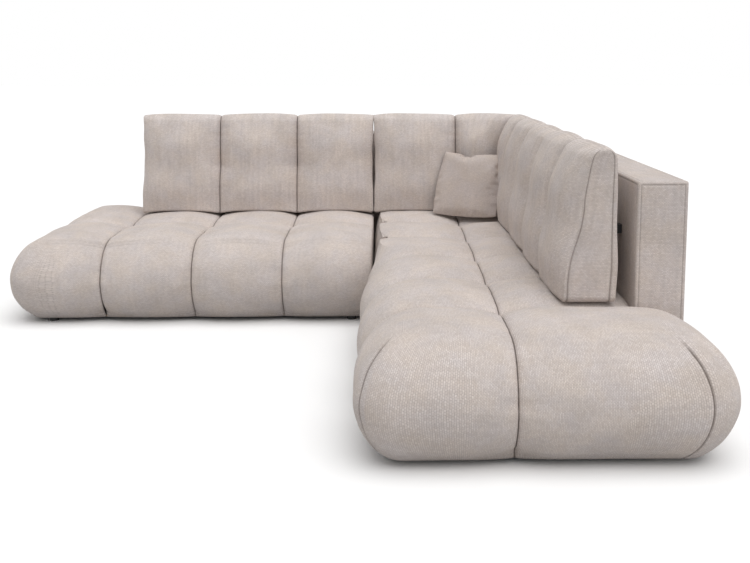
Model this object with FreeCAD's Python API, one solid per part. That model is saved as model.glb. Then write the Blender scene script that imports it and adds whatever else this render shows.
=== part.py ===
import FreeCAD, Part
import math
import os

Vector = FreeCAD.Vector
os.makedirs("parts", exist_ok=True)

# Corner sofa with two tufted seat modules, open rounded ends, two sliding backrests and a fixed
# corner backrest. X runs to the right, Y away from the sitter's side, Z up. The origin is on the
# floor, under the middle of the whole sofa.

# Grid of the tufted cells
cell_pitch = 408.0           # between two seams along each module
backrest_cells = 3           # cells behind each sliding backrest
left_end_cell = 434.0        # open end of the left module, outermost point to its first seam
right_end_cell = 500.0       # open end of the right module
left_front_cell = 572.0      # left module, front of the bulge to the lengthwise seam
right_inner_cell = 481.0     # right module, side of the bulge to the lengthwise seam
rear_cell = 472.0            # left module, lengthwise seam to the back box
outer_cell = 453.0           # right module, lengthwise seam to the back box
side_overlap = 44.0          # how far the free side of the right module bulges past the joint
end_overhang = 46.0          # how far the open right end bulges past the back box
module_gap = 2.0             # between the two seat modules

# Seat upholstery
seat_top = 402.0             # crown of the cells above the floor
underside = 19.0             # underside of the upholstery above the floor
seam_dip = 22.0              # depth of a sewn seam below the crown
seam_pull = 20.0             # how far a seam is drawn in on the rounded sides
foot_inset = 92.0            # outermost point of the round side to its foot
shoulder_inset = 150.0       # outermost point of the round side to where the crown begins
shoulder_drop = 11.0         # crown to the end of the round side
corner_round = 130.0         # rounding of the open ends, seen from above
wall = 20.0                  # soft wall between the wooden base and the outside

# Backrests. Their front is a wedge with two lobes: its depth at a sewn seam, and how far the
# middle of a cell swells in front of that.
back_top = 908.0             # top of the backrests above the floor
back_foot = (173.0, 27.0)    # at the seat
back_lower = (159.0, 47.0)   # fullest height of the lower lobe
back_waist = (124.0, 63.0)   # where the seams are drawn in
back_upper = (106.0, 62.0)   # fullest height of the upper lobe
back_crest = (82.0, 34.0)    # under the round top
back_gap = 69.0              # free space between a backrest and the back box
seat_clearance = 1.5         # backrest above the crown of the seat
backrest_joint = 5.0         # between two neighbouring backrests
waist_share = 0.46           # height of the waist, as a share of the backrest
crest_dip = 8.0              # how far a seam dips at the top

# Back boxes
box_thickness = 170.0
box_top = 792.0
box_wall = 14.0              # padded cover over the wooden frame
box_edge = 9.0               # rounding of the cover's long edges
box_start_gap = 3.0          # between the open end's cell and the box

# Wooden frames
board = 25.0                 # thickness of the base rails
base_rail_top = 170.0
cross_rail_count = 4
block_size = 70.0            # corner blocks that hold the feet
block_height = 45.0
post = 40.0                  # posts and rails of the back frames
dust_cover = 1.5             # cloth under the base

# Seat support
spring_count_left = 6
spring_count_right = 10
spring_width = 56.0
spring_wire = 5.0
spring_turns = 7
clip_length = 20.0
clip_width = 70.0
clip_height = 6.0
felt = 3.0
core_cover = 102.0           # soft cover over the foam block inside the seat cushion
fit = 0.3                    # running clearance of clips and hidden pieces

# Feet
foot_radius = 21.0
foot_setback = 17.0          # end cross rail to the block that holds a foot

# Sliding fittings
travel = 120.0
guide_outer = 32.0
guide_wall = 2.5
guide_reach = 50.0           # guide tube in front of the back box
guide_height = 600.0         # centre of the fittings above the floor
bar_clearance = 0.5          # between a bar and its guide
bar_wall = 2.0
bar_end_gap = 4.0            # behind a bar when the backrest is right back
collar_wall = 5.0
collar_depth = 12.0
collar_clearance = 0.3
glide_length = 12.0
plate_size = 90.0
plate_thickness = 4.0

# Backrest frame pocket
pocket_back = 26.0           # soft wall behind the frame
pocket_end = 45.0            # soft wall at the ends

# Corner backrest
bracket_width = 40.0

# Connectors under the joint of the modules
connector_width = 45.0
connector_thickness = 4.0
connector_screw = 3.0
connector_screw_length = 30.0

# Scatter pillow
pillow_size = 345.0
pillow_thickness = 112.0
pillow_edge = 5.0
pillow_draw = 13.0           # how far the middles of the sides draw in
pillow_turn = 25.0           # degrees, turned towards the left
pillow_lean = 26.0           # degrees, leant back
pillow_to_side = 200.5       # foot of the pillow to the seams of the corner's side leg
pillow_to_rear = 210.0       # foot of the pillow to the seams of the corner's rear leg
pillow_settle = 9.0          # how far it stands down between the crowns of the seat

# Sizes that follow from the driving ones
left_length = left_end_cell + backrest_cells * cell_pitch
left_back = left_front_cell + rear_cell
left_outer = left_back + box_thickness
right_back = right_inner_cell + outer_cell
right_outer = right_back + box_thickness + end_overhang
corner_start = right_end_cell + backrest_cells * cell_pitch
right_length = corner_start + cell_pitch + rear_cell
total_width = left_length - side_overlap + right_outer
total_depth = right_length + box_thickness
left_x = -total_width / 2
left_y = total_depth / 2 - left_outer
joint_x = left_x + left_length
right_x = joint_x - side_overlap
right_y = -total_depth / 2
bulge_height = seat_top / 2
bulge_radius = seat_top / 2
half_circle_foot = bulge_radius - math.sqrt(bulge_radius**2 - (bulge_height - underside) ** 2)
full_foot_inset = bulge_radius * foot_inset / half_circle_foot
core_top = seat_top - core_cover
bar_outer = guide_outer - 2 * guide_wall - 2 * bar_clearance
bar_back = box_thickness - box_wall - glide_length - bar_end_gap
collar_outer = guide_outer + 2 * collar_wall
back_bottom = seat_top + seat_clearance
back_height = back_top - back_bottom
frame_bottom = underside + dust_cover
clip_top = base_rail_top + clip_height


def left_place(u, v, z):
    """Along the left module from its open end, across it from its front, and up."""
    return Vector(left_x + u, left_y + v, z)


def right_place(u, v, z):
    """Along the right module from its open end, across it from its free side, and up."""
    return Vector(right_x + v, right_y + u, z)


def export(name, *shapes):
    shape = shapes[0] if len(shapes) == 1 else Part.makeCompound(list(shapes))
    shape.exportStep("parts/" + name + ".step")


def block(place, u, v, z):
    """Box between two values along each of the module's directions."""
    a = place(u[0], v[0], z[0])
    b = place(u[1], v[1], z[1])
    corner = Vector(min(a.x, b.x), min(a.y, b.y), min(a.z, b.z))
    return Part.makeBox(abs(b.x - a.x), abs(b.y - a.y), abs(b.z - a.z), corner)


def prism(centre, radius, height, sides):
    """Upright many-sided prism, for small round pieces."""
    ring = []
    for index in range(sides + 1):
        angle = 2 * math.pi * (index % sides + 0.5) / sides
        ring.append(centre + Vector(radius * math.cos(angle), radius * math.sin(angle), 0))
    return Part.Face(Part.makePolygon(ring)).extrude(Vector(0, 0, height))


def outline(start, *steps):
    """Closed wire from a start point: a step is a line's end, or an arc's middle and end."""
    edges = []
    here = start
    for step in steps:
        if isinstance(step, tuple):
            edges.append(Part.Arc(here, step[0], step[1]).toShape())
            here = step[1]
        else:
            edges.append(Part.LineSegment(here, step).toShape())
            here = step
    edges.append(Part.LineSegment(here, start).toShape())
    return Part.Wire(edges)


def short_lines(start, middle, end, count):
    """Points that divide an arc into short lines, without its end."""
    return Part.Arc(start, middle, end).toShape().discretize(count + 1)[:-1]


def loft(sections):
    """Solid of straight-ruled strips from section to section."""
    solid = Part.makeLoft(sections, True, True)
    if solid.Volume < 0:
        solid.reverse()
    return solid


def joined(solids):
    """One solid out of neighbours that share whole flat faces."""
    whole = solids[0].multiFuse(solids[1:])
    return whole.Solids[0] if len(whole.Solids) == 1 else whole


def mix(a, b, share):
    return a + (b - a) * share


def swell(fraction):
    """How full a cell is across its width: 0 at both seams, 1 in the middle."""
    return 1 - abs(2 * fraction - 1) ** 2.6


def half_round(inset, radius):
    """Half height of a round edge, an inset in from its outermost point."""
    return math.sqrt(radius**2 - (radius - min(inset, radius)) ** 2)


# Seat cushions

# Where the sections of a cell lie between its two seams, closer together near the seams
cell_fractions = (0.0, 0.11, 0.5, 0.89, 1.0)


def row_section(place, u, seam_v, back_v, puff, flat):
    """Cross-section of a seat module: round free side, two crowned cells, upright back.

    flat runs from 0, a free round side, to 1, a side that stands against the other module.
    """
    drop = seam_dip * (1 - puff)
    side = mix(seam_pull * (1 - puff), side_overlap + module_gap, flat)
    foot = side + mix(foot_inset, 14.0, flat)
    shoulder = mix(shoulder_inset, side + 30.0, flat)
    shoulder_z = seat_top - mix(shoulder_drop, seam_dip, flat) - drop
    seam_z = seat_top - seam_dip - drop
    return outline(
        place(u, foot, underside),
        (place(u, side, bulge_height), place(u, shoulder, shoulder_z)),
        (place(u, (shoulder + seam_v) / 2, seat_top - drop), place(u, seam_v, seam_z)),
        (place(u, (seam_v + back_v) / 2, seat_top - drop), place(u, back_v, seam_z)),
        place(u, back_v, underside),
    )


def seat_row(place, start, width, seam_v, back_v, flats):
    """One row of two cells across a module, from one sewn seam to the next."""
    sections = []
    for fraction, flat in zip(cell_fractions, flats):
        u = start + fraction * width
        sections.append(row_section(place, u, seam_v, back_v, swell(fraction), flat))
    return loft(sections)


def end_row(place, end_cell, seam_v, outer_v):
    """Rear half of the open end's two cells, round on both sides, down to the first seam."""
    sections = []
    for fraction in cell_fractions[2:]:
        puff = swell(fraction)
        u = end_cell - (1 - fraction) * cell_pitch
        drop = seam_dip * (1 - puff)
        side = seam_pull * (1 - puff)
        shoulder_z = seat_top - shoulder_drop - drop
        far = outer_v - shoulder_inset
        sections.append(
            outline(
                place(u, side + foot_inset, underside),
                (place(u, side, bulge_height), place(u, shoulder_inset, shoulder_z)),
                (
                    place(u, (shoulder_inset + seam_v) / 2, seat_top - drop),
                    place(u, seam_v, seat_top - seam_dip - drop),
                ),
                (place(u, (seam_v + far) / 2, seat_top - drop), place(u, far, shoulder_z)),
                (
                    place(u, outer_v - side, bulge_height),
                    place(u, outer_v - side - foot_inset, underside),
                ),
            )
        )
    return loft(sections)


def nose_section(place, v, inset, puff, rear_u):
    """Lengthwise section of the open end: half-round nose and the crown behind it."""
    share = half_round(inset, bulge_radius) / bulge_radius
    nose = corner_round - half_round(inset, corner_round) + seam_pull * (1 - puff)
    lower = half_round(inset * bulge_radius / full_foot_inset, bulge_radius)
    bottom = max(underside, bulge_height - lower)
    top = bulge_height + (seat_top - bulge_height) * share - seam_dip * (1 - puff)
    shoulder = nose + shoulder_inset * share
    foot_point = place(nose + foot_inset * share, v, bottom)
    shoulder_point = place(shoulder, v, top - shoulder_drop * share)
    crown = place((shoulder + rear_u) / 2, v, top - 0.3 * shoulder_drop * share)
    rear_point = place(rear_u, v, top)
    ring = short_lines(foot_point, place(nose, v, bulge_height), shoulder_point, 6)
    ring += short_lines(shoulder_point, crown, rear_point, 2)
    ring += [rear_point, place(rear_u, v, bottom), foot_point]
    return Part.makePolygon(ring)


def nose_solid(place, rear_u, side_v, seam_v):
    """Front half of one cell of the open end, from its free side to the lengthwise seam."""
    inward = 1 if seam_v > side_v else -1
    width = abs(seam_v - side_v)
    stations = [(inset, 1.0) for inset in (2.0, 30.0, foot_inset, bulge_radius)]
    for fraction in cell_fractions[3:]:
        stations.append((width - (1 - fraction) * cell_pitch, swell(fraction)))
    sections = []
    for inset, puff in stations:
        sections.append(nose_section(place, side_v + inward * inset, inset, puff, rear_u))
    return loft(sections)


def base_pocket(length, back_v):
    """Room in the underside of a seat cushion for the wooden base and the foam block."""
    inset = foot_inset + wall
    return (inset, length - wall), (inset, back_v - wall)


def seat_cushion(place, end_cell, length, seam_v, back_v, outer_v, row_plan):
    """Soft seat of one module: its open end, its rows of cells, and the room for the base."""
    rear_u = end_cell - cell_pitch / 2
    solids = [
        nose_solid(place, rear_u, 0.0, seam_v),
        nose_solid(place, rear_u, outer_v, seam_v),
        end_row(place, end_cell, seam_v, outer_v),
    ]
    start = end_cell
    for width, flats in row_plan:
        solids.append(seat_row(place, start, width, seam_v, back_v, flats))
        start += width
    u, v = base_pocket(length, back_v)
    return joined(solids).cut(block(place, u, v, (underside - 1, core_top)))


free = (0.0,) * len(cell_fractions)
turning = (0.0, 0.25, 1.0, 1.0, 1.0)
against = (1.0,) * len(cell_fractions)

left_rows = [(cell_pitch, free)] * backrest_cells
export(
    "left_seat_cushion",
    seat_cushion(
        left_place, left_end_cell, left_length, left_front_cell, left_back, left_outer, left_rows
    ),
)

right_rows = [(cell_pitch, free)] * (backrest_cells - 1)
right_rows += [(cell_pitch, turning), (cell_pitch, against), (rear_cell, against)]
export(
    "right_seat_cushion",
    seat_cushion(
        right_place,
        right_end_cell,
        right_length,
        right_inner_cell,
        right_back,
        right_outer,
        right_rows,
    ),
)


# Wooden base, springs, foam block and feet of one module


def spring(place, u, v):
    """Flat zigzag spring between two clips."""
    step = (v[1] - v[0]) / spring_turns
    side = spring_width / 2
    near = []
    far = []
    for turn in range(spring_turns + 1):
        offset = side if turn % 2 else -side
        if turn in (0, spring_turns):
            offset = 0.0
        middle = v[0] + turn * step
        near.append(place(u + offset - spring_wire / 2, middle, base_rail_top + fit))
        far.append(place(u + offset + spring_wire / 2, middle, base_rail_top + fit))
    ring = near + far[::-1] + [near[0]]
    return Part.Face(Part.makePolygon(ring)).extrude(Vector(0, 0, spring_wire))


def spring_clip(place, u, v):
    """Clip on top of a rail, against the end of a spring."""
    half = clip_width / 2
    return block(place, (u - half, u + half), v, (base_rail_top, clip_top))


def base(side, place, length, back_v, foot_rows, spring_count):
    """Everything under the soft seat of one module."""
    pocket_u, pocket_v = base_pocket(length, back_v)
    u = (pocket_u[0] + fit, pocket_u[1] - fit)
    v = (pocket_v[0] + fit, pocket_v[1] - fit)
    rail_z = (frame_bottom, base_rail_top)
    front = block(place, u, (v[0], v[0] + board), rail_z)
    rear = block(place, u, (v[1] - board, v[1]), rail_z)
    inner_v = (v[0] + board, v[1] - board)
    cross = []
    for index in range(cross_rail_count):
        start = mix(u[0], u[1] - board, index / (cross_rail_count - 1))
        cross.append(block(place, (start, start + board), inner_v, rail_z))

    feet = []
    blocks = []
    block_z = (frame_bottom, frame_bottom + block_height)
    for row in foot_rows:
        near_end = u[0] + board + foot_setback
        start = mix(near_end, u[1] - board - foot_setback - block_size, row)
        for near, under_rail in (
            (inner_v[0], v[0] + board / 2),
            (inner_v[1] - block_size, v[1] - board / 2),
        ):
            centre = place(start + block_size / 2, under_rail, 0)
            feet.append(prism(centre, foot_radius, underside, 12))
            span = (near, near + block_size)
            blocks.append(block(place, (start, start + block_size), span, block_z))
    export(side + "_foot_blocks", *blocks)
    export(side + "_feet", *feet)

    springs = []
    clips = []
    ends = (v[0] + clip_length, v[1] - clip_length)
    for index in range(spring_count):
        at = mix(u[0], u[1], (index + 0.5) / spring_count)
        springs.append(spring(place, at, (ends[0] + fit, ends[1] - fit)))
        clips.append(spring_clip(place, at, (v[0], ends[0])))
        clips.append(spring_clip(place, at, (ends[1], v[1])))
    export(side + "_springs", *springs)
    export(side + "_spring_clips", *clips)
    export(side + "_support_felt", block(place, u, v, (clip_top, clip_top + felt)))
    export(side + "_foam_core", block(place, u, v, (clip_top + felt, core_top - fit)))
    return block(place, u, v, (underside, frame_bottom)), (front, rear), cross


# Connector plates run under the joint, from the last cross rail of the left module to the inner
# rail of the right one, and are held by a screw at each end.
left_pocket_end = left_x + base_pocket(left_length, left_back)[0][1] - fit
right_pocket_start = right_x + base_pocket(right_length, right_back)[1][0] + fit
connector_x = (left_pocket_end - board / 2, right_pocket_start + board / 2)
connector_y = (left_y + 0.36 * left_back, left_y + 0.86 * left_back)


def connector_screw_solid(x, y, radius):
    foot_end = Vector(x, y, underside - connector_thickness)
    return prism(foot_end, radius, connector_thickness + connector_screw_length, 8)


def connector_holes(shape):
    for x in connector_x:
        for y in connector_y:
            shape = shape.cut(connector_screw_solid(x, y, connector_screw + fit))
    return shape


def connector_slots(cloth):
    """Square cuts in the dust cover around the screws."""
    half = 2 * connector_screw
    for x in connector_x:
        for y in connector_y:
            corner = Vector(x - half, y - half, underside - 1)
            cloth = cloth.cut(Part.makeBox(2 * half, 2 * half, dust_cover + 2, corner))
    return cloth


sides = (
    ("left", left_place, left_length, left_back, (0.0, 1.0), spring_count_left),
    ("right", right_place, right_length, right_back, (0.0, 0.5, 1.0), spring_count_right),
)
for side in sides:
    cloth, long_rails, cross_rails = base(*side)
    export(side[0] + "_dust_cover", connector_slots(cloth))
    export(side[0] + "_long_rails", *[connector_holes(rail) for rail in long_rails])
    export(side[0] + "_cross_rails", *[connector_holes(rail) for rail in cross_rails])

plates = []
screws = []
for y in connector_y:
    plate = Part.makeBox(
        connector_x[1] - connector_x[0] + connector_width,
        connector_width,
        connector_thickness,
        Vector(
            connector_x[0] - connector_width / 2,
            y - connector_width / 2,
            underside - connector_thickness,
        ),
    )
    plates.append(connector_holes(plate))
    screws += [connector_screw_solid(x, y, connector_screw) for x in connector_x]
export("connector_plates", *plates)
export("connector_screws", *screws)


# Backrests. Along their length l, in front of their back plane w, and up z.


def left_back_place(length, w, z):
    """Along the left backrest from its free end, forward from its back, and up."""
    return left_place(left_end_cell + length, left_back - back_gap - w, z)


def right_back_place(length, w, z):
    """Along the right backrest from its free end, forward from its back, and up."""
    return right_place(right_end_cell + length, right_back - back_gap - w, z)


def back_level(share):
    """Height above the floor at a share of the backrest's height."""
    return back_bottom + share * back_height


def back_depth(level, puff):
    """Depth of the front at one of the named levels, from a seam to the middle of a cell."""
    at_seam, swollen = level
    return at_seam + swollen * puff


def back_section(place, length, puff):
    """Wedge section of a backrest: upright back, round top, and two lobes with a waist."""
    dip = crest_dip * (1 - puff)
    foot = place(length, back_depth(back_foot, puff), back_bottom)
    lower = place(length, back_depth(back_lower, puff), back_level(0.24))
    waist = place(length, back_depth(back_waist, puff), back_level(waist_share))
    upper = place(length, back_depth(back_upper, puff), back_level(0.74))
    crest = place(length, back_depth(back_crest, puff), back_level(0.955) - dip)
    top = place(length, back_crest[0] * 0.62, back_top - dip)
    rear = place(length, 9.0, back_level(0.965) - dip)
    ring = short_lines(foot, lower, waist, 4) + short_lines(waist, upper, crest, 4)
    ring += short_lines(crest, top, rear, 4) + [rear, place(length, 0, back_bottom), foot]
    return Part.makePolygon(ring)


def back_cell(place, start, end):
    """One channel of a backrest between two sewn seams."""
    sections = []
    for fraction in cell_fractions:
        sections.append(back_section(place, mix(start, end, fraction), swell(fraction)))
    return loft(sections)


def frame_range(length):
    """Room inside a backrest for its wooden frame: along it, in front of its back, and up."""
    along = (pocket_end, length - pocket_end)
    deep = (pocket_back, pocket_back + plate_thickness + post)
    return along, deep, (back_bottom, back_level(0.86))


def ladder_frame(place, along, deep, up, post_places, rail_levels):
    """Posts, and rails between neighbouring posts, that fill a range."""
    posts = []
    rails = []
    for at in post_places:
        posts.append(block(place, (at - post / 2, at + post / 2), deep, up))
    for first, second in zip(post_places, post_places[1:]):
        for level in rail_levels:
            span = (first + post / 2, second - post / 2)
            rails.append(block(place, span, deep, (level - post / 2, level + post / 2)))
    return posts, rails


def bar_places(length):
    """Both slide bars stand behind the middles of the outer cells."""
    return cell_pitch / 2, length - cell_pitch / 2


def square(place, along, w, side):
    """Square prism that runs forward from the back box, at the height of the fittings."""
    half = side / 2
    up = (guide_height - half, guide_height + half)
    return block(place, (along - half, along + half), w, up)


def square_tube(place, along, w, side, thickness):
    outer = square(place, along, w, side)
    return outer.cut(square(place, along, w, side - 2 * thickness))


def sliding_backrest(side, place):
    """A backrest that slides on two bars, and the fittings in the box behind it."""
    length = backrest_cells * cell_pitch
    ends = backrest_joint / 2
    cells = []
    for index in range(backrest_cells):
        start = max(index * cell_pitch, ends)
        end = min((index + 1) * cell_pitch, length - ends)
        cells.append(back_cell(place, start, end))
    along, deep, up = frame_range(length)
    cushion = joined(cells).cut(block(place, along, deep, (up[0] - 1, up[1])))
    for at in bar_places(length):
        cushion = cushion.cut(square(place, at, (-1, pocket_back + 1), bar_outer + 4 * fit))
    export(side + "_backrest_cushion", cushion)

    inner = (along[0] + post / 2 + fit, along[1] - post / 2 - fit)
    places = [inner[0], *bar_places(length), inner[1]]
    places.insert(2, length / 2)
    wood = (deep[0] + plate_thickness, deep[1] - fit)
    height = (up[0], up[1] - fit)
    levels = (up[0] + post / 2, guide_height, up[1] - fit - post / 2)
    posts, rails = ladder_frame(place, along, wood, height, places, levels)
    export(side + "_backrest_posts", *posts)
    export(side + "_backrest_rails", *rails)

    bars = []
    plates = []
    guides = []
    collars = []
    glides = []
    box_front = -back_gap
    for at in bar_places(length):
        rear = box_front - bar_back
        bars.append(square_tube(place, at, (rear, pocket_back), bar_outer, bar_wall))
        plates.append(square(place, at, (pocket_back, wood[0]), plate_size))
        glide = square(place, at, (rear - glide_length, rear), bar_outer + 0.4)
        glides.append(glide.fuse(square(place, at, (rear, rear + 8.0), bar_outer - 2 * bar_wall)))
        guide = (box_front - box_thickness + box_wall, box_front + guide_reach)
        guides.append(square_tube(place, at, guide, guide_outer, guide_wall))
        mouth = box_front + guide_reach
        collar = square(place, at, (mouth, mouth + collar_depth / 3), collar_outer)
        sleeve = square(place, at, (mouth - collar_depth, mouth), collar_outer)
        sleeve = sleeve.cut(square(place, at, (mouth - collar_depth - 1, mouth), guide_outer))
        hole = (mouth - collar_depth - 1, mouth + collar_depth)
        collar = collar.cut(square(place, at, hole, bar_outer + 2 * collar_clearance))
        collars.append(collar.fuse(sleeve))
    export(side + "_slide_bars", *bars)
    export(side + "_slide_plates", *plates)
    export(side + "_slide_glides", *glides)
    export(side + "_guide_tubes", *guides)
    export(side + "_guide_collars", *collars)


sliding_backrest("left", left_back_place)
sliding_backrest("right", right_back_place)


# Corner backrest: two legs that meet in a mitre

corner_x = right_x + right_back - back_gap
corner_y = left_y + left_back - back_gap


def rear_leg_place(length, w, z):
    """Along the rear leg from the joint of the modules, forward from its back, and up."""
    return Vector(joint_x + length, corner_y - w, z)


def side_leg_place(length, w, z):
    """Along the side leg from the end of the right backrest, forward from its back, and up."""
    return Vector(corner_x - w, right_y + corner_start + length, z)


def mitre_prism(rear):
    """Half of the plan, on one side of the diagonal through the inner corner."""
    reach = 3 * cell_pitch
    skew = Vector(reach, reach, 0)
    corner = Vector(corner_x, corner_y, 0)
    other = Vector(-reach, reach, 0) if rear else Vector(reach, -reach, 0)
    ring = [corner - skew, corner + skew, corner + skew + other, corner - skew + other]
    face = Part.Face(Part.makePolygon(ring + [ring[0]]))
    return face.extrude(Vector(0, 0, 2 * back_top))


def bracket_bar(place, along, w):
    """Flat steel bar between a leg's frame and the box behind it."""
    half = bracket_width / 2
    return block(place, (along - half, along + half), w, (guide_height - half, guide_height + half))


def bracket_places(length):
    return 0.2 * length, 0.6 * length


def corner_leg(name, place, seam, length, rear):
    """One leg: a whole cell, then a short one that is mitred, with its frame inside."""
    deepest = max(at_seam + swollen for at_seam, swollen in (back_foot, back_lower, back_waist))
    last = length + deepest
    cells = [back_cell(place, backrest_joint / 2, seam), back_cell(place, seam, last)]
    leg = joined(cells).common(mitre_prism(rear))
    for at in bracket_places(length):
        leg = leg.cut(bracket_bar(place, at, (-1, pocket_back + 1)))
    along = (pocket_end, length - back_foot[0] + pocket_back)
    deep = (pocket_back, pocket_back + post + fit)
    up = (back_bottom, back_level(0.86))
    export(name + "_cushion", leg.cut(block(place, along, deep, (up[0] - 1, up[1]))))
    wood = (deep[0], deep[1] - fit)
    height = (up[0], up[1] - fit)
    places = [along[0] + post / 2 + fit, sum(along) / 2, along[1] - post / 2 - fit]
    levels = (up[0] + post / 2, guide_height, up[1] - fit - post / 2)
    posts, rails = ladder_frame(place, along, wood, height, places, levels)
    export(name + "_frame", *posts, *rails)


rear_leg_length = corner_x - joint_x
side_leg_length = corner_y - right_y - corner_start
corner_leg(
    "corner_rear", rear_leg_place, right_inner_cell - side_overlap, rear_leg_length, True
)
corner_leg("corner_side", side_leg_place, cell_pitch, side_leg_length, False)


brackets = []
for at in bracket_places(rear_leg_length):
    brackets.append(bracket_bar(rear_leg_place, at, (-back_gap, pocket_back)))
for at in bracket_places(side_leg_length):
    brackets.append(bracket_bar(side_leg_place, at, (-back_gap, pocket_back)))
export("corner_brackets", *brackets)


# Back boxes: a padded cover over a frame of posts and rails


def rounded_box(place, u, v, z):
    """Cover with its upper and upright edges rounded."""
    solid = block(place, u, v, z)
    edges = [e for e in solid.Edges if e.BoundBox.ZMax > z[0] + 1]
    return solid.makeFillet(box_edge, edges)


def back_box(side, place, start, length, back_v, guide_starts):
    """One box behind the seat, with the frame that holds the guide tubes."""
    u = (start, length)
    v = (back_v, back_v + box_thickness)
    cover = rounded_box(place, u, v, (underside, box_top))
    inside_u = (u[0] + box_wall, u[1] - box_wall)
    inside_v = (v[0] + box_wall, v[1] - box_wall)
    inside_z = (underside, box_top - box_wall)
    cover = cover.cut(block(place, inside_u, inside_v, (underside - 1, inside_z[1])))
    half = guide_outer / 2
    hole_z = (guide_height - half, guide_height + half)
    for at in guide_starts:
        cover = cover.cut(block(place, (at - half, at + half), (v[0] - 1, inside_v[0] + 1), hole_z))
    export(side + "_box_cover", cover)

    count = 4
    ends = (inside_u[0] + fit, inside_u[1] - fit)
    deep = (inside_v[0], inside_v[1])
    height = (inside_z[0], inside_z[1] - fit)
    posts = []
    for index in range(count):
        at = mix(ends[0], ends[1] - post, index / (count - 1))
        for near in (deep[0], deep[1] - post):
            posts.append(block(place, (at, at + post), (near, near + post), height))
    export(side + "_box_posts", *posts)

    rails = []
    for index in range(count - 1):
        first = mix(ends[0], ends[1] - post, index / (count - 1)) + post
        second = mix(ends[0], ends[1] - post, (index + 1) / (count - 1))
        for near in (deep[0], deep[1] - board):
            for low in (height[0], guide_height - post, height[1] - 2 * post):
                rail = block(place, (first, second), (near, near + board), (low, low + 2 * post))
                for at in guide_starts:
                    hole = (at - half, at + half)
                    rail = rail.cut(block(place, hole, (near - 1, near + board + 1), hole_z))
                rails.append(rail)
    export(side + "_box_rails", *rails)


left_guides = [left_end_cell + at for at in bar_places(backrest_cells * cell_pitch)]
right_guides = [right_end_cell + at for at in bar_places(backrest_cells * cell_pitch)]
back_box(
    "left",
    left_place,
    left_end_cell + box_start_gap,
    right_x + right_back - left_x,
    left_back,
    left_guides,
)
back_box(
    "right",
    right_place,
    right_end_cell + box_start_gap,
    right_length + box_thickness,
    right_back,
    right_guides,
)


# Scatter pillow


def pillow_ring(share, height):
    """Outline of the pillow, drawn in along its sides, at a share of its full size."""
    half = share * pillow_size / 2
    draw = share * pillow_draw
    ring = []
    for turn in range(4):
        for along in (-1.0, -0.6, 0.0, 0.6):
            x = along * half
            z = draw * (1 - along**2) - half
            for quarter in range(turn):
                x, z = -z, x
            ring.append(Vector(x, height, z))
    return ring


def pillow_solid():
    """Square pillow: a thin sewn edge with pointed corners, and crowned faces."""
    levels = []
    for share in (1.0, 0.9, 0.72, 0.45):
        levels.append((share, mix(pillow_edge, pillow_thickness, 1 - share**2.6) / 2))
    front = [(share, -height) for share, height in levels]
    rings = [pillow_ring(share, height) for share, height in front[::-1] + levels]
    faces = [Part.Face(Part.makePolygon(ring + [ring[0]])) for ring in (rings[0], rings[-1])]
    for near, far in zip(rings, rings[1:]):
        for index in range(len(near)):
            after = (index + 1) % len(near)
            strip = [near[index], near[after], far[after], far[index], near[index]]
            faces.append(Part.Face(Part.makePolygon(strip)))
    return Part.Solid(Part.Shell(faces))


def place_pillow(shape):
    """Stands on the seat, leant back and turned across the corner."""
    shape = shape.copy()
    shape.rotate(Vector(0, 0, 0), Vector(1, 0, 0), -pillow_lean)
    shape.rotate(Vector(0, 0, 0), Vector(0, 0, 1), -pillow_turn)
    lift = seat_top - pillow_settle - shape.BoundBox.ZMin
    lean = math.radians(pillow_lean)
    turn = math.radians(pillow_turn)
    back = math.sin(lean) * pillow_size / 2
    shape.translate(
        Vector(
            corner_x - back_foot[0] - pillow_to_side + back * math.sin(turn),
            corner_y - back_foot[0] - pillow_to_rear + back * math.cos(turn),
            lift,
        )
    )
    return shape


export("scatter_pillow", place_pillow(pillow_solid()))
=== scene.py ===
import math
from functools import partial

import bmesh
import bpy
import numpy as np
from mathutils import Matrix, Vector


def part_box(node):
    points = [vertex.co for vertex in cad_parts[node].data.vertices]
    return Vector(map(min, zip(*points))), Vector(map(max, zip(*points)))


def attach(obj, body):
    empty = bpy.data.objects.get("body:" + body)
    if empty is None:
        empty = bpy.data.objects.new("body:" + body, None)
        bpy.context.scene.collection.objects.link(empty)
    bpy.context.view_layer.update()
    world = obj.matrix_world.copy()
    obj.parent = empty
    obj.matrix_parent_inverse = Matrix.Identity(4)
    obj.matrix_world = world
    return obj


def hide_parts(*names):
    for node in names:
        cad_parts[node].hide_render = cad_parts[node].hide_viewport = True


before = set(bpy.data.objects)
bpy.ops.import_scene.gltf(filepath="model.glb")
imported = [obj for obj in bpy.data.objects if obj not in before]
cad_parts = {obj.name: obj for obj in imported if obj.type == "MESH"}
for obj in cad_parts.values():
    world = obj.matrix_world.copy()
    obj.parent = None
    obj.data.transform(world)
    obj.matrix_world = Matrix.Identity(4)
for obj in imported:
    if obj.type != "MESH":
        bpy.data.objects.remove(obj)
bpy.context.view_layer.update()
print("frame loaded")

# camera

cameraPlan = {
    "place": (0.3269, -3.891, 1.1841),
    "pitch": 7.086,      # degrees down
    "yaw": -1.077,       # degrees, turned a little to the right
    "lens": 44.441,
    "shiftX": -0.03405,
    "shiftY": -0.14,
}

cameraData = bpy.data.cameras.new("camera")
camera = bpy.data.objects.new("camera", cameraData)
bpy.context.scene.collection.objects.link(camera)
bpy.context.scene.camera = camera
camera.location = cameraPlan["place"]
camera.rotation_euler = (math.radians(90 - cameraPlan["pitch"]), 0,
    math.radians(cameraPlan["yaw"]))
cameraData.sensor_width = 36
cameraData.lens = cameraPlan["lens"]
cameraData.shift_x = cameraPlan["shiftX"]
cameraData.shift_y = cameraPlan["shiftY"]
cameraData.dof.use_dof = False

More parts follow.
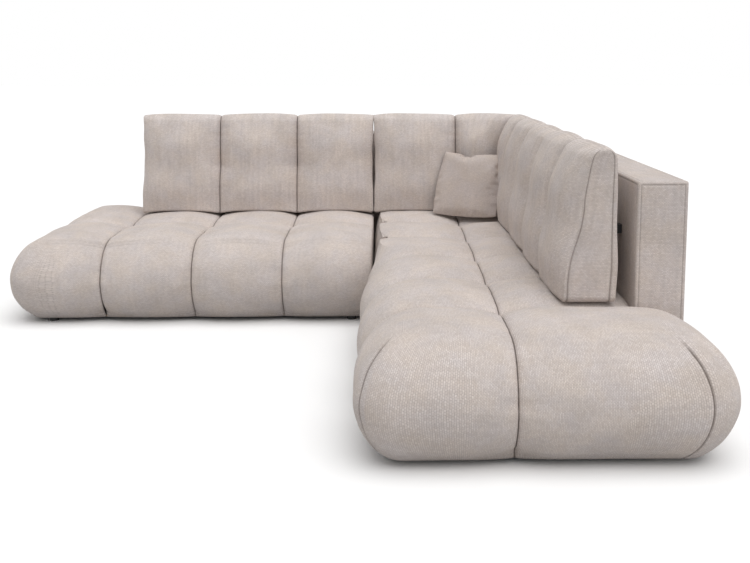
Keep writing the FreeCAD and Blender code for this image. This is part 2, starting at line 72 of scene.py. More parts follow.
# the sofa's plan, in metres; u runs along a module from its open end, v across it from its free side

sofaPlan = {
    "leftStart": (-1.382, 0.173),
    "rightStart": (0.232, -1.387),
    "underside": 0.019,
    "crown": 0.402,
    "backCorner": (1.097, 1.148),   # where the back planes of the backrests meet
}

def placeFrom(start, axis, forward=1):
    # u runs from the start along one axis (0 is x, 1 is y), v across it, forward or back
    def place(u, v, z):
        shifts = (u, forward * v) if axis == 0 else (forward * v, u)
        return np.stack(np.broadcast_arrays(start[0] + shifts[0], start[1] + shifts[1], z), -1)
    return place


# small mesh helpers


def gridQuads(grid):
    # each cell of a grid of indices, or of UV points, as four corners
    corners = [grid[:-1, :-1], grid[1:, :-1], grid[1:, 1:], grid[:-1, 1:]]
    return np.stack(corners, 2).reshape(-1, 4, *grid.shape[2:])


def smoothNoise(points, wave, seed, terms=9):
    # sum of plane sine waves in seeded directions, about the given wavelength, from -1 to 1
    rng = np.random.default_rng(seed)
    way = rng.normal(size=(terms, 3))
    way /= np.linalg.norm(way, axis=1)[:, None]
    length = wave * rng.uniform(0.7, 1.6, terms)
    phase = rng.uniform(0, 2 * np.pi, terms)
    waves = np.sin(points @ way.T * (2 * np.pi / length) + phase)
    return waves.sum(1) / math.sqrt(terms) / 1.2


def pointNormals(points, quads):
    # sum of the cross products of each face's diagonals, at its corners
    cross = np.cross(points[quads[:, 2]] - points[quads[:, 0]], points[quads[:, 3]]
        - points[quads[:, 1]])
    normals = np.zeros_like(points)
    for corner in range(4):
        np.add.at(normals, quads[:, corner], cross)
    return normals / np.maximum(np.linalg.norm(normals, axis=1), 1e-12)[:, None]


def relax(points, quads, mask, rounds):
    # each masked point moves to the mean of its neighbours, a few times
    edges = np.concatenate([quads[:, [a, (a + 1) % 4]] for a in range(4)])
    edges = np.concatenate([edges, edges[:, ::-1]])
    count = np.zeros(len(points))
    np.add.at(count, edges[:, 0], 1)
    for _ in range(rounds):
        total = np.zeros_like(points)
        np.add.at(total, edges[:, 0], points[edges[:, 1]])
        mean = total / np.maximum(count, 1)[:, None]
        points = points + (mean - points) * mask[:, None] * 0.7
    return points


def spacedLine(low, high, seams, step):
    # Values from low to high that hold every seam. Beside a seam the steps start at 0.6 mm and
    # grow by 1.45 each; towards an end that is no seam they also get closer.
    growing = np.cumsum(0.0006 * 1.45 ** np.arange(9))
    stops = [low] + sorted(s for s in seams if low + 1e-6 < s < high - 1e-6) + [high]
    line = [np.array([low])]
    for first, second in zip(stops, stops[1:]):
        near = growing[growing < 0.45 * (second - first)]
        atSeam = [any(abs(end - s) < 1e-6 for s in seams) for end in (first, second)]
        start = first + (near[-1] if atSeam[0] else 0)
        stop = second - (near[-1] if atSeam[1] else 0)
        t = np.linspace(0, 1, max(2, int(round((stop - start) / step))) + 1)
        if not atSeam[0]:
            t = t ** 1.25
        elif not atSeam[1]:
            t = 1 - (1 - t) ** 1.25
        inner = start + (stop - start) * t
        if atSeam[0]:
            line.append(first + near[:-1])
        line.append(inner if atSeam[0] else inner[1:])
        if atSeam[1]:
            line += [second - near[-2::-1], np.array([second])]
    return np.concatenate(line)


def toSeams(values, seams):
    # distance to the nearest seam
    return np.min(np.abs(values[..., None] - np.array(seams)), axis=-1)


def newPiece(name, points, quads, quadUv, polygons=(), sewn=None):
    # Faces are quads, then a few flat many-sided ones. The last argument, painted shade in the
    # seams, is 1 deep in a seam and 0 away from it. Points at the same place are joined, and every
    # face is turned outwards.
    faces = quads.tolist() + [list(p) for p in polygons]
    mesh = bpy.data.meshes.new(name)
    mesh.from_pydata(points.tolist(), [], faces)
    uv = [quadUv.reshape(-1, 2)] + [points[list(p)][:, :2] for p in polygons]
    layer = mesh.uv_layers.new(name="cloth")
    layer.data.foreach_set("uv", np.concatenate(uv).astype(np.float32).ravel())
    mesh.polygons.foreach_set("use_smooth", [True] * len(faces))
    if sewn is not None:
        # the painted shade of the seams, as a point attribute that the cloth reads
        seamShades = mesh.attributes.new("sewn", "FLOAT", "POINT")
        seamShades.data.foreach_set("value", sewn.astype(np.float32))
    piece = bpy.data.objects.new(name, mesh)
    bpy.context.scene.collection.objects.link(piece)
    work = bmesh.new()
    work.from_mesh(mesh)
    bmesh.ops.remove_doubles(work, verts=work.verts, dist=2e-6)
    bmesh.ops.dissolve_degenerate(work, edges=work.edges, dist=1e-7)
    bmesh.ops.recalc_face_normals(work, faces=work.faces)
    loose = sum(not edge.is_manifold for edge in work.edges)
    if loose:
        print("open edges on", name, loose)
    work.to_mesh(mesh)
    work.free()
    mesh.update()
    return piece


def joinPieces(name, pieces):
    # one object out of several shells
    bpy.ops.object.select_all(action="DESELECT")
    for piece in pieces:
        piece.select_set(True)
    bpy.context.view_layer.objects.active = pieces[0]
    bpy.ops.object.join()
    pieces[0].name = name
    pieces[0].data.name = name
    return pieces[0]


# materials


def linear(hexText):
    # sRGB hex to a linear colour
    values = [int(hexText[i:i + 2], 16) / 255 for i in (1, 3, 5)]
    return [v / 12.92 if v <= 0.04045 else ((v + 0.055) / 1.055) ** 2.4 for v in values] + [1]


def addNode(tree, kind, settings=None):
    # A node and its settings by property or socket. Where a setting is another node, the socket
    # is linked to that node's first output in use, and where it is a pair, to the output named.
    node = tree.nodes.new("ShaderNode" + kind)
    for key, value in (settings or {}).items():
        if isinstance(key, str) and hasattr(node, key):
            setattr(node, key, value)
        elif isinstance(value, bpy.types.Node):
            used = next(output for output in value.outputs if output.enabled)
            tree.links.new(used, node.inputs[key])
        elif isinstance(value, tuple) and isinstance(value[0], bpy.types.Node):
            tree.links.new(value[0].outputs[value[1]], node.inputs[key])
        else:
            node.inputs[key].default_value = value
    return node


def newMaterial(name):
    # a material, and the function that adds nodes to it
    material = bpy.data.materials.new(name)
    material.use_nodes = True
    material.node_tree.nodes.clear()
    return material, partial(addNode, material.node_tree)


def span(source, fromLow, fromHigh, toLow, toHigh):
    # what a Map Range node is set to
    return {"Value": source, "From Min": fromLow, "From Max": fromHigh,
            "To Min": toLow, "To Max": toHigh}


def blend(factor, first, second, kind="MIX"):
    # what a Mix node is set to; its sockets 6 and 7 are the two colours
    return {"data_type": "RGBA", "blend_type": kind, 0: factor, 6: first, 7: second}


def closeSurface(add, colour, height, bump, settings):
    # the shader of a colour, a bump of (strength, distance) from a height, and what else is set
    normal = add("Bump", {"Strength": bump[0], "Distance": bump[1], "Height": height})
    shader = add("BsdfPrincipled", {"Base Color": colour, "Normal": normal, **settings})
    add("OutputMaterial", {"Surface": shader})


chenillePlan = {
    "pale": "#e3dad5",        # tips of the pile
    "grey": "#c6bab4",        # ground yarn
    "seam": "#7d716b",        # shadow between the yarns
    "veil": "#d6ccc6",        # fibres over the weave, which soften its contrast
    "seamShadow": "#5d514b",      # painted shade deep in a seam
    "dashLength": 8.5,        # mm
    "rowHeight": 4.4,         # mm, two picks together: one alone is too fine to show
    "sheen": 0.28,
}


def chenille(name, plan, fine=1.0, streaks=0.05):
    # chenille upholstery: cut pile yarn in a basket weave; matte, with a pale sheen at grazing
    # angles and cloudy patches where the nap lies the other way
    material, add = newMaterial(name)
    cloth = add("UVMap", {"uv_map": "cloth"})
    shake = add("TexNoise", {"Scale": 60.0, "Detail": 2.0, "Vector": cloth})
    shift = add("VectorMath", {"operation": "MULTIPLY_ADD", 0: (shake, "Color"),
        1: (0.004, 0.004, 0), 2: cloth})
    weave = add("TexBrick", {"Scale": 1000.0, "Mortar Size": 0.95 * fine, "Mortar Smooth": 1.0,
        "Bias": 0.0, "Brick Width": plan["dashLength"] * fine,
        "Row Height": plan["rowHeight"] * fine, "Color1": (0, 0, 0, 1), "Color2": (1, 1, 1, 1),
        "Mortar": (0.5, 0.5, 0.5, 1), "Vector": shift})
    heather = add("TexNoise", {"Scale": 330.0, "Detail": 3.0, "Roughness": 0.7, "Vector": cloth})
    patches = add("TexNoise", {"Scale": 5.5, "Detail": 4.0, "Roughness": 0.55, "Distortion": 0.6,
        "Vector": cloth})
    stretch = add("Mapping", {"Scale": (75.0, 5.0, 1.0), "Vector": cloth})
    streak = add("TexNoise", {"Scale": 1.0, "Detail": 3.0, "Vector": stretch})
    hue = add("TexNoise", {"Scale": 9.0, "Detail": 5.0, "Roughness": 0.6, "Vector": cloth})

    # yarns, then their light and dark: flecks, clouds and streaks multiplied
    colour = add("Mix", blend(weave, linear(plan["grey"]), linear(plan["pale"])))
    colour = add("Mix", blend(0.45, colour, linear(plan["veil"])))
    fleck = add("MapRange", span(heather, 0.3, 0.7, 0.86, 1.12))
    cloud = add("MapRange", span(patches, 0.3, 0.7, 0.91, 1.07))
    warp = add("MapRange", span(streak, 0.3, 0.7, 1 - streaks, 1 + streaks))
    light = add("Math", {"operation": "MULTIPLY", 0: fleck, 1: cloud})
    light = add("Math", {"operation": "MULTIPLY", 0: light, 1: warp})
    light = add("CombineColor", {"Red": light, "Green": light, "Blue": light})
    warmth = add("MapRange", span(hue, 0.38, 0.62, 0.0, 1.0))
    tint = add("Mix", blend(warmth, linear("#fffdfa"), linear("#fbfcff")))
    colour = add("Mix", blend(1.0, colour, tint, "MULTIPLY"))
    colour = add("Mix", blend(1.0, colour, light, "MULTIPLY"))

    # shadow between the yarns and in the seams
    gap = add("MapRange", span((weave, "Fac"), 0.0, 1.0, 0.0, 0.38))
    colour = add("Mix", blend(gap, colour, linear(plan["seam"])))
    # painted shade: the cloth turns towards the dark seam colour deep in the seams and along the
    # creases
    sewn = add("Attribute", {"attribute_name": "sewn"})
    sewn = add("MapRange", span((sewn, "Fac"), 0.0, 1.0, 0.0, 0.75))
    colour = add("Mix", blend(sewn, colour, linear(plan["seamShadow"])))
    height = add("Math", {"operation": "MULTIPLY_ADD", 0: (weave, "Fac"), 1: -1.0, 2: heather})
    roughness = add("MapRange", span(patches, 0.3, 0.7, 0.86, 0.98))
    closeSurface(add, colour, height, (0.55, 0.0012 * fine),
        {"Roughness": roughness, "Sheen Weight": plan["sheen"], "Sheen Roughness": 0.45,
        "Sheen Tint": linear("#efe7df"), "Specular IOR Level": 0.25})
    return material


seatCloth = chenille("chenille upholstery", chenillePlan, 1.0, 0.03)
backCloth = chenille("chenille upholstery, upright", chenillePlan, 1.0, 0.06)
pillowCloth = chenille("chenille of the scatter pillow",
    {**chenillePlan, "pale": "#cbbeb6", "grey": "#aea099"}, 0.8, 0.02)
print("cloth ready")

# seat modules

seatPlan = {
    "footInset": 0.092,       # round side: circle through its foot, its bulge and the shoulder
    "bulge": 0.201,
    "shoulder": (0.150, 0.391),
    "levels": 56,
    "shoulderRise": 0.011,    # crown above the shoulder
    "riseLength": 0.088,
    "standing": (0.046, 0.014, 0.030),   # inset of the side at the other module: middle, foot, top
    "cornerRound": 0.13,
    "fanLength": 0.2,         # columns beside a round corner spread over this length
    "cell": 0.408,
    "topDip": 0.031,
    "sideDip": 0.024,
    "dipPower": 2.4,
    "crossPower": 1.3,        # how the depths of two seams join where they cross
    "roll": (0.013, 0.019),   # depth and radius
    "cornerRoll": (0.0085, 0.010),
    # widths of the painted shade along the seams and down the corner seams
    "seamShadeWidth": 0.0022,
    "cornerShadeWidth": 0.003,
    "step": 0.0115,
    "creases": (0.3775, 0.3670),   # heights of the two fine creases along the left front
    "creaseDepth": 0.0024,
    "creaseWidth": 0.0036,
    "wallCloth": 0.37,        # length of cloth down an upright wall
    "hem": (0.007, 0.0017),   # the cover is tucked in and up under the edge
}
far = 9.0                     # metres: no seam near


def circleThrough(first, second, third):
    # centre and radius of the circle through three points of a plane
    rows = np.array([np.subtract(second, first), np.subtract(third, first)]) * 2
    right = [np.dot(p, p) - np.dot(first, first) for p in (second, third)]
    centre = np.linalg.solve(rows, right)
    return centre, np.hypot(*(centre - first))


def roundSide():
    # insets and heights up the round side, from the foot to the shoulder
    plan = seatPlan
    foot = (plan["footInset"], sofaPlan["underside"])
    centre, radius = circleThrough(foot, (0.0, plan["bulge"]), plan["shoulder"])
    ends = [math.asin((z - centre[1]) / radius) for z in (foot[1], plan["shoulder"][1])]
    angle = np.linspace(*ends, plan["levels"] + 1)
    return centre[0] - radius * np.cos(angle), centre[1] + radius * np.sin(angle)


def roll(gap, depth, radius):
    # quarter round with which the cloth turns down into a seam: upright at the seam itself
    x = 1 - np.clip(gap / radius, 0, 1)
    return depth * (1 - np.sqrt(1 - x ** 2))


def seamDepth(gapU, gapV, dip):
    # broad dip of a cell towards its seams, and the roll into each of them; where two seams
    # cross, the depths join as the root of the sum of their powers
    power = seatPlan["crossPower"]
    half = seatPlan["cell"] / 2
    rolls, broads = 0, 0
    for gap in (gapU, gapV):
        broads = broads + (dip * np.clip(1 - gap / half, 0, 1) ** seatPlan["dipPower"]) ** power
        rolls = rolls + roll(gap, *seatPlan["roll"]) ** power
    return broads ** (1 / power) + rolls ** (1 / power)


def puckers(gap, along, seed, size=0.0016, reach=0.045):
    # short folds square to a seam that fade away from it
    line = np.stack([along, np.full_like(along, seed * 3.7), np.zeros_like(along)], -1)
    return size * np.exp(-gap / reach) * smoothNoise(line, 0.042, seed, 7)


def seatShell(name, place, size, seamsU, seamsV, openEnd, against=None, cornerSeams=None,
              creased=False):
    # One closed shell over the rectangle (u0, u1, v0, v1). Its low v side is round, and with
    # openEnd so are the low u and high v sides; the others are upright walls. against(u) goes
    # from 0 to 1 where the low v side turns from a round side into one that stands at the
    # other module. The top is a grid; every point of its edge has a column down to the foot,
    # and beside a round corner the columns fan out over the corner's arc. cornerSeams holds
    # the shares of the fan at which a seam runs down the low v and the low u side.
    plan = seatPlan
    u0, u1, v0, v1 = size
    roundInset, roundHeight = roundSide()
    shoulder = roundInset[-1]
    foot = sofaPlan["underside"]
    rise = roundHeight[-1] - foot
    share = (roundHeight - foot) / rise
    levels = len(roundInset) - 1
    topU = (u0 + shoulder * openEnd, u1)
    topV = (v0 + shoulder, v1 - shoulder * openEnd)
    fan = plan["fanLength"]
    markU = [topU[0] + cornerSeams[0] * fan] if cornerSeams else []
    markV = [topV[1] - cornerSeams[1] * fan] if cornerSeams else []
    lineU = spacedLine(*topU, seamsU + markU, plan["step"])
    lineV = spacedLine(*topV, seamsV + markV, plan["step"])
    nu, nv = len(lineU), len(lineV)
    gridU, gridV = np.meshgrid(lineU, lineV, indexing="ij")
    turn = against(lineU) if against else np.zeros(nu)
    middle, atFoot, atTop = plan["standing"]
    flatInset = middle + np.where(share < 0.5, atFoot * (1 - 2 * share) ** 2,
        atTop * (2 * share - 1) ** 2)
    lowInset = roundInset[:, None] * (1 - turn) + flatInset[:, None] * turn
    if against:
        seam = seamsV[0]
        t = np.clip((gridV - topV[0]) / (seam - topV[0]), 0, 1)
        edge = v0 + lowInset[-1][:, None]
        gridV = np.where(gridV < seam, edge + (seam - edge) * t, gridV)

    # drop of the crown towards each round side
    gaps = [gridV - gridV[:, :1]]
    if openEnd:
        gaps = [gridU - topU[0], *gaps, topV[1] - gridV]
    drop = np.ones_like(gridU)
    for gap in gaps:
        drop = drop * (1 - np.clip(1 - gap / plan["riseLength"], 0, 1) ** 2)
    topZ = sofaPlan["crown"] - plan["shoulderRise"] * (1 - drop)

    zero = np.zeros(levels + 1)
    endInset = roundInset if openEnd else zero
    radius = plan["cornerRound"] * np.clip(1 - (roundInset.clip(0) / shoulder) ** 1.3, 0, 1)

    def sideColumns(line, ends, nextInsets, inward, arcs):
        # places along and inward of one side, by level and column; nextInsets are those of
        # the sides at its two ends, and arcs says which of its corners are round
        along = np.tile(line, (levels + 1, 1))
        inner = inward.copy() if inward.ndim == 2 else np.tile(inward[:, None], len(line))
        for sign, outer, nextInset, hasArc in zip((1, -1), ends, nextInsets, arcs):
            topGap = nextInset[-1]
            t = (sign * (line - outer) - topGap) / fan
            near = t < 1
            r = (radius if hasArc else zero)[:, None]
            arc = np.pi / 4 * r
            straight = topGap + fan - nextInset[:, None] - r
            run = t[near] * (arc + straight)
            angle = np.pi / 4 + np.where(r > 0, np.minimum(run, arc) / np.maximum(r, 1e-9), 0)
            base = nextInset[:, None] + r
            onArc = run < arc
            away = np.where(onArc, base - r * np.cos(angle), base + run - arc)
            inner[:, near] = np.where(onArc, inner[:, near] + r - r * np.sin(angle),
                inner[:, near])
            along[:, near] = outer + sign * away
        return along, inner

    def heights(topRow):
        return foot + (topRow[None, :] - foot) * share[:, None]

    # the sides in the order of the loop round the edge: low v, high u, high v, low u
    sideRound = [True, False, openEnd, openEnd]
    lowV, highU, highV, lowU = [sideColumns(*side) for side in ((lineU, (u0, u1), (endInset, zero),
        lowInset, (openEnd, False)), (gridV[-1], (v0, v1), (lowInset[:, -1], endInset), zero,
        (False, False)), (lineU, (u0, u1), (endInset, zero), endInset, (openEnd, False)),
        (gridV[0], (v0, v1), (lowInset[:, 0], endInset), endInset, (openEnd, openEnd)))]
    loops = [
        np.stack([lowV[0], v0 + lowV[1], heights(topZ[:, 0])], -1),
        np.stack([u1 - highU[1], highU[0], heights(topZ[-1])], -1),
        np.stack([highV[0], v1 - highV[1], heights(topZ[:, -1])], -1)[:, ::-1],
        np.stack([u0 + lowU[1], lowU[0], heights(topZ[0])], -1)[:, ::-1],
    ]

    # distance to a sewn corner seam, which keeps one column of the fan all the way down
    gapLoops = [np.full(part.shape[:2], far) for part in loops]
    if cornerSeams:
        length = (np.pi / 4 * radius + shoulder + fan - roundInset - radius)[:, None]
        gapLoops[0] = np.abs((lineU - topU[0]) / fan - cornerSeams[0]) * length
        gapLoops[3] = np.abs((topV[1] - gridV[0]) / fan - cornerSeams[1])[::-1] * length

    # index of every point: the top grid first, then the loop of columns below its edge
    topIndex = np.arange(nu * nv).reshape(nu, nv)
    edge = np.concatenate([topIndex[:, 0], topIndex[-1, 1:], topIndex[::-1, -1][1:],
        topIndex[0, ::-1][1:-1]])
    around = len(edge)
    loopPoints = np.concatenate([part[:-1, :-1] for part in loops], 1)
    loopIndex = nu * nv + np.arange(levels * around).reshape(levels, around)
    loopIndex = np.concatenate([loopIndex, edge[None, :]], 0)
    top = np.stack([gridU, gridV, topZ], -1)
    local = np.concatenate([top.reshape(-1, 3), loopPoints.reshape(-1, 3)])
    cornerGap = np.concatenate([part[:-1, :-1] for part in gapLoops], 1)
    cornerGap = np.concatenate([np.full(nu * nv, far), cornerGap.ravel()])

    # Cloth coordinates are the top's own, and further out by the length down the side. Upright
    # walls come first: a column that two sides share keeps the round side's place.
    down = np.concatenate([[0], np.cumsum(np.hypot(np.diff(roundInset), np.diff(roundHeight)))])
    wallDown = (1 - share) * plan["wallCloth"]
    out = [(down[-1] - down if isRound else wallDown)[:, None] for isRound in sideRound]
    rows = [
        (lineU, gridV[:, 0] - out[0]),
        (topU[1] + out[1], gridV[-1]),
        (lineU[::-1], topV[1] + out[2]),
        (topU[0] - out[3], gridV[0, ::-1]),
    ]
    topUv = np.stack([gridU, gridV], -1)
    quads, quadUv = [gridQuads(topIndex)], [gridQuads(topUv)]
    starts = np.cumsum([0, nu - 1, nv - 1, nu - 1, nv - 1])
    cloth = np.full((len(local), 2), far)
    cloth[:nu * nv] = topUv.reshape(-1, 2)
    for side in sorted(range(4), key=lambda k: sideRound[k]):
        uv = np.stack(np.broadcast_arrays(*rows[side]), -1)
        index = loopIndex[:, np.arange(starts[side], starts[side + 1] + 1) % around]
        quads.append(gridQuads(index.T))
        quadUv.append(gridQuads(uv.transpose(1, 0, 2)))
        cloth[index[:-1].ravel()] = uv[:-1].reshape(-1, 2)
    quads = np.concatenate(quads)
    quadUv = np.concatenate(quadUv)
    bottom = loopIndex[0]

    # soften the round corners, then sink the seams along the surface's own direction
    soft = np.zeros(len(local))
    if openEnd:
        for outer, inward in ((v0, 1), (v1, -1)):
            centre = np.array([u0 + shoulder, outer + inward * shoulder])
            gap = np.linalg.norm(local[:, :2] - centre, axis=1)
            soft = np.maximum(soft, np.clip(1.4 - gap / 0.11, 0, 1))
    soft[bottom] = 0
    soft[local[:, 2] < 0.12] = 0
    local = relax(local, quads, soft, 20)
    normals = pointNormals(local, quads)
    upward = np.clip(normals[:, 2], 0, 1) ** 0.5
    dip = plan["sideDip"] + (plan["topDip"] - plan["sideDip"]) * upward
    gapU, gapV = toSeams(cloth[:, 0], seamsU), toSeams(cloth[:, 1], seamsV)
    depth = seamDepth(gapU, gapV, dip)
    world = place(*local.T)
    depth += 0.0022 * (1 + smoothNoise(world, 0.26, 5)) + 0.0007 * smoothNoise(world, 0.07, 6)
    depth += puckers(gapU, cloth[:, 1], 7) + puckers(gapV, cloth[:, 0], 8)
    drawn = np.clip((0.985 - (local[:, 2] - foot) / rise) / 0.1, 0, 1)
    depth += drawn * roll(cornerGap, *plan["cornerRoll"])
    depth += drawn * puckers(cornerGap, local[:, 2], 9, 0.0014, 0.022)
    # painted shade along the two creases; it joins the painted shade of the seams below
    creaseShade = np.zeros(len(local))
    if creased:
        fading = (0.6 + 0.5 * smoothNoise(local * [1, 0, 0], 0.3, 12)).clip(0, 1)
        onFront = (local[:, 1] < shoulder - 1e-6) & (local[:, 0] > shoulder)
        for height in plan["creases"]:
            line = np.exp(-((local[:, 2] - height) / plan["creaseWidth"]) ** 2)
            depth += onFront * plan["creaseDepth"] * fading * line
            creaseShade = np.maximum(creaseShade, 0.22 * onFront * fading * line)
    depth = np.maximum(depth, 0)     # nothing rises above the crown, where the backrests slide

    # the outline of a wall moves as the cloth beside it does, within the wall's plane
    before = local.copy()
    walls, beside = [(0, u1)], [(topIndex[-1], topIndex[-2])]
    if not openEnd:
        walls += [(0, u0), (1, v1)]
        beside = [(topIndex[0], topIndex[1]), *beside, (topIndex[:, -1], topIndex[:, -2])]
    for first, second in beside:
        normals[first] = normals[second]
    for side in range(4):
        if sideRound[side] != sideRound[side - 1]:
            column = (starts[side] + (1 if sideRound[side] else -1)) % around
            normals[loopIndex[:-1, starts[side]]] = normals[loopIndex[:-1, column]]
    onWall = np.zeros(len(local), bool)
    for axis, wall in walls:
        mask = np.abs(before[:, axis] - wall) < 1e-6
        normals[mask, axis] = 0
        onWall |= mask
    local = local - normals * depth[:, None]
    local[:, 2] = np.where(before[:, 2] < foot + 1e-6, foot, np.maximum(local[:, 2], foot))

    # inside its outline a wall's height follows the top's edge, and its places the outline
    index = loopIndex[:-1]
    isWall = onWall[index] & onWall[edge]
    isWall[:, starts[:4]] = False
    follow = foot + (local[edge, 2] - foot) * share[:-1, None]
    local[index, 2] = np.where(isWall, follow, local[index, 2])
    for side in range(4):
        if not sideRound[side]:
            across = side % 2
            ends = loopIndex[:-1, [starts[side], starts[side + 1] % around]]
            old, new = before[ends, across], local[ends, across]
            index = loopIndex[:-1, starts[side] + 1:starts[side + 1]]
            t = (before[index, across] - old[:, :1]) / (old[:, 1:] - old[:, :1])
            local[index, across] = new[:, :1] + t * (new[:, 1:] - new[:, :1])

    # the hem turns in and up, and carries the flat underside
    ring = local[bottom]
    along = np.roll(ring, -1, 0) - np.roll(ring, 1, 0)
    inward = np.stack([-along[:, 1], along[:, 0]], -1)
    inward /= np.maximum(np.linalg.norm(inward, axis=1), 1e-9)[:, None]
    hem = ring.copy()
    hem[:, :2] += inward * plan["hem"][0]
    hem[:, 2] += plan["hem"][1]
    hemIndex = len(local) + np.arange(around)
    local = np.concatenate([local, hem])
    strip = np.stack([np.append(hemIndex, hemIndex[0]), np.append(bottom, bottom[0])]).T
    quads = np.concatenate([quads, gridQuads(strip)])
    quadUv = np.concatenate([quadUv, gridQuads(local[strip][..., :2])])
    # painted shade deep in the seams, down the sewn corner seams and along the creases; none on the
    # hem
    sewn = np.exp(-(np.minimum(gapU, gapV) / plan["seamShadeWidth"]) ** 2)
    sewn = np.maximum(sewn, 0.8 * drawn * np.exp(-(cornerGap / plan["cornerShadeWidth"]) ** 2))
    sewn = np.concatenate([np.maximum(sewn, creaseShade), np.zeros(around)])
    return newPiece(name, place(*local.T), quads, quadUv, [hemIndex], sewn=sewn)


def easeStep(x, low, high):
    t = np.clip((x - low) / (high - low), 0, 1)
    return t * t * (3 - 2 * t)


leftPlace = placeFrom(sofaPlan["leftStart"], 0)
rightPlace = placeFrom(sofaPlan["rightStart"], 1)
leftSeat = joinPieces("left_seat", [seatShell("left_end", leftPlace, (0, 0.4338, 0, 1.214),
    [0.4338], [0.572], True, creased=True), seatShell("left_rows", leftPlace,
    (0.4342, 1.6575, 0, 1.044), [0.4342, 0.842, 1.25, 1.6575], [0.572, 1.044], False,
    creased=True)])
print("left seat module")
rightSeat = joinPieces("right_seat", [seatShell("right_end", rightPlace, (0, 0.4998, 0, 1.150),
    [0.4998], [0.481], True, cornerSeams=(0.09, 0.27)),
    seatShell("right_rows", rightPlace, (0.5002, 2.604, 0, 0.934),
    [0.5002, 0.908, 1.316, 1.724, 2.132, 2.604], [0.481, 0.934], False,
    against=lambda u: easeStep(u, 1.345, 1.53))])
print("right seat module")

# backrests: l runs along one from its free end, w forward from its back plane, z up

backPlan = {
    "bottom": 0.4035,
    "top": 0.908,
    # share of the height, front at a seam, front in a cell, back at a seam, back in a cell
    "levels": [
        (0.00, 0.173, 0.202, -0.004, -0.006),
        (0.24, 0.159, 0.211, -0.010, -0.024),
        (0.46, 0.124, 0.192, -0.004, -0.018),
        (0.74, 0.106, 0.171, -0.002, -0.020),
        (0.955, 0.084, 0.118, 0.003, -0.006),
        (1.00, 0.078, 0.102, 0.008, 0.002),
    ],
    "crest": 0.046,           # depth at which front and back meet
    "capStart": 0.925,        # share of the height where the round top begins
    "crestDip": 0.007,
    "bottomDip": 0.018,       # the underside follows the seams of the seat
    "roll": (0.013, 0.018),
    "endWaist": 0.0085,       # how far an end draws in at the waist
    "endRound": 0.011,
    "endReach": 0.06,
    "panelBulge": 0.0045,
    "cell": 0.408,
    "swellPower": 2.9,
    "tuft": 0.012,
    "waist": 0.47,            # share of the height where the tufts sit
    "barHeight": 0.6,
    "barDimple": 0.075,       # the back lies flat round each slide bar within this distance
    # grid lines across an end panel, front to back, close beside its two rows of stitches
    "across": [0, 0.015, 0.035, 0.047, 0.06, 0.073, 0.09, 0.13, 0.2, 0.35, 0.5, 0.65, 0.78,
               0.84, 0.86, 0.873, 0.886, 0.9, 0.93, 0.97, 1],
    "stitches": (0.06, 0.873),
}


def curveThrough(x, knots, values):
    # smooth curve through the knots: cubic pieces whose slopes are those of the neighbours' chords
    knots, values = np.array(knots), np.array(values)
    slopes = np.gradient(values, knots)
    index = np.clip(np.searchsorted(knots, x, side="right") - 1, 0, len(knots) - 2)
    span = knots[index + 1] - knots[index]
    t = (x - knots[index]) / span
    return (values[index] * (1 + 2 * t) * (1 - t) ** 2 + values[index + 1] * t ** 2 * (3 - 2 * t)
        + span * (slopes[index] * t * (1 - t) ** 2 - slopes[index + 1] * t ** 2 * (1 - t)))


def quarterRound(gap, radius):
    # how far a rounded edge of that radius lies in, at a distance from the edge
    x = np.clip(radius - gap, 0, radius)
    return radius - np.sqrt(radius ** 2 - x ** 2)


